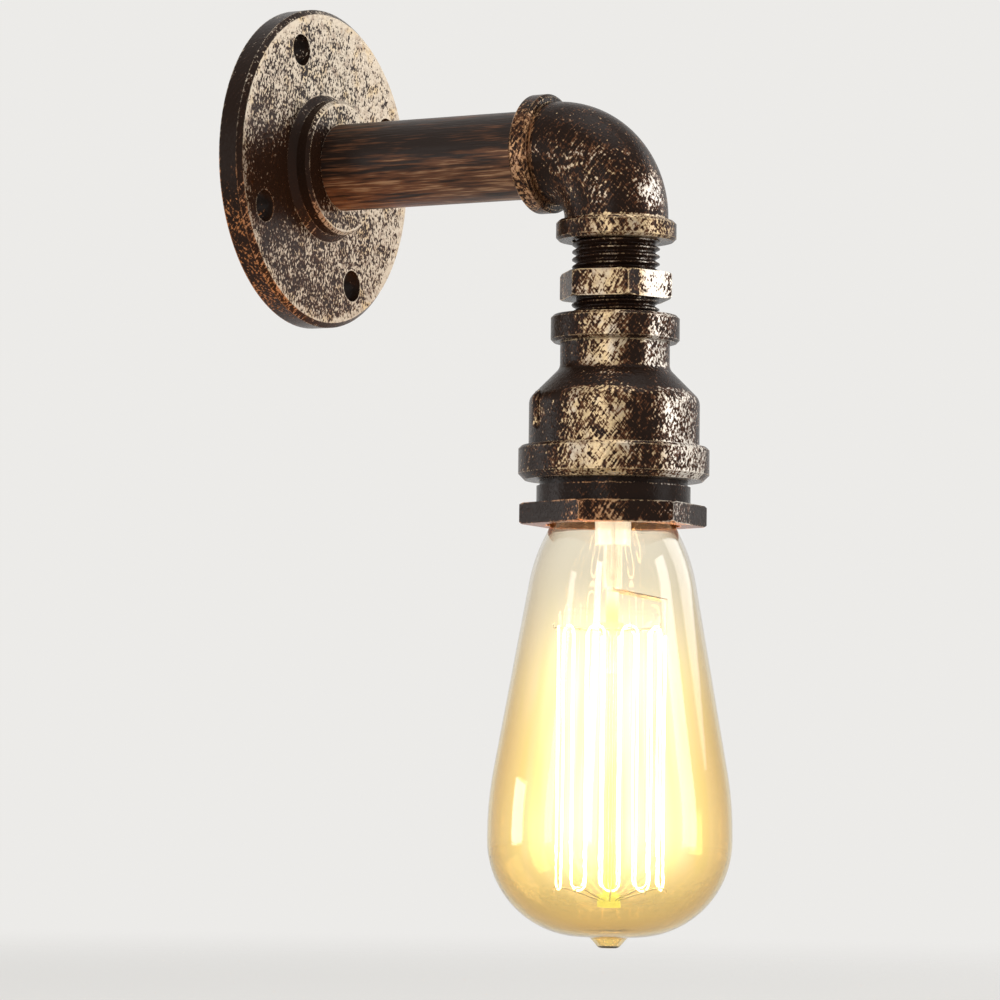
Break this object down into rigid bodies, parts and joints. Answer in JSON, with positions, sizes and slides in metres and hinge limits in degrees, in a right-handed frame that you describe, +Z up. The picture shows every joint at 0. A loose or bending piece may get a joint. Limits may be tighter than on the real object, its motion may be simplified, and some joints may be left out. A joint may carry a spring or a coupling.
{
  "type": "industrial pipe wall light",
  "caption": "Wall light made of a round floor flange, a short pipe, an elbow, a hexagon nipple and a bell reducer, hanging a long amber filament bulb in a screw lamp holder.",
  "frame": {"origin": "middle of the screw circle on the flange's back face, on the axis of the arm", "axes": "+Y into the wall, so the arm stands out along -Y; +Z up; the bulb hangs down along -Z"},
  "size_m": [0.0786, 0.1166, 0.229],
  "materials": {
    "flange_iron": "antique brushed brass over black cast iron",
    "pipe_steel": "antique bronze, brushed lengthwise",
    "fitting_iron": "antique brushed brass over black cast iron",
    "nipple_iron": "antique brushed brass over black cast iron",
    "bell_iron": "antique brushed brass over black cast iron",
    "bushing_iron": "antique brushed brass over black cast iron",
    "fibre": "red vulcanised fibre",
    "porcelain": "glazed porcelain",
    "shell_brass": "pressed brass",
    "contact_bronze": "spring bronze",
    "terminal_brass": "machined brass",
    "screw_steel": "zinc plated",
    "tag_brass": "tinned brass",
    "live_insulation": "brown silicone insulation",
    "neutral_insulation": "blue silicone insulation",
    "earth_insulation": "green and yellow silicone insulation",
    "copper": "bare copper",
    "ferrule": "white collar, tinned sleeve",
    "bulb_glass": "amber tinted clear glass",
    "clear_glass": "clear glass",
    "cap_brass": "pressed brass",
    "black_glass": "black glass insulator",
    "solder": "soldered tin",
    "cement": "capping cement",
    "support_wire": "molybdenum wire",
    "filament_glow": "lit carbon thread"
  },
  "bodies": {
    "fixture": {"wall_flange": "flange_iron", "arm_pipe": "pipe_steel", "elbow": "fitting_iron", "hex_nipple": "nipple_iron", "bell_reducer": "bell_iron", "socket_bushing": "bushing_iron", "seat_washer": "fibre", "lamp_holder": "porcelain", "screw_shell": "shell_brass", "centre_contact": "contact_bronze", "live_terminal": "terminal_brass", "neutral_terminal": "terminal_brass", "terminal_screws": "screw_steel", "earth_tag_ring": "tag_brass", "live_wire": "live_insulation", "neutral_wire": "neutral_insulation", "earth_wire": "earth_insulation", "wire_cores": "copper", "wire_ferrules": "ferrule"},
    "bulb_contact": {"bulb_eyelet": "solder"},
    "bulb": {"bulb_glass": "bulb_glass", "bulb_cap": "cap_brass", "cap_insulator": "black_glass", "cap_cement": "cement", "stem": "clear_glass", "upper_hooks": "support_wire", "lower_hooks": "support_wire", "lead_in_wires": "support_wire", "filament": "filament_glow"}
  },
  "joints": [
    {"name": "bulb_travel", "type": "slide", "parent": "fixture", "child": "bulb_contact", "axis": [0, 0, -1], "range_m": [0, 0.0109]},
    {"name": "bulb_turn", "type": "hinge", "parent": "bulb_contact", "child": "bulb", "pos_m": [0, -0.0876, 0], "axis": [0, 0, -1], "range_deg": [0, 1080]}
  ],
  "couplings": [
    {"joint": "bulb_travel", "follows": "bulb_turn", "m_per_rad": 0.00057757}
  ]
}
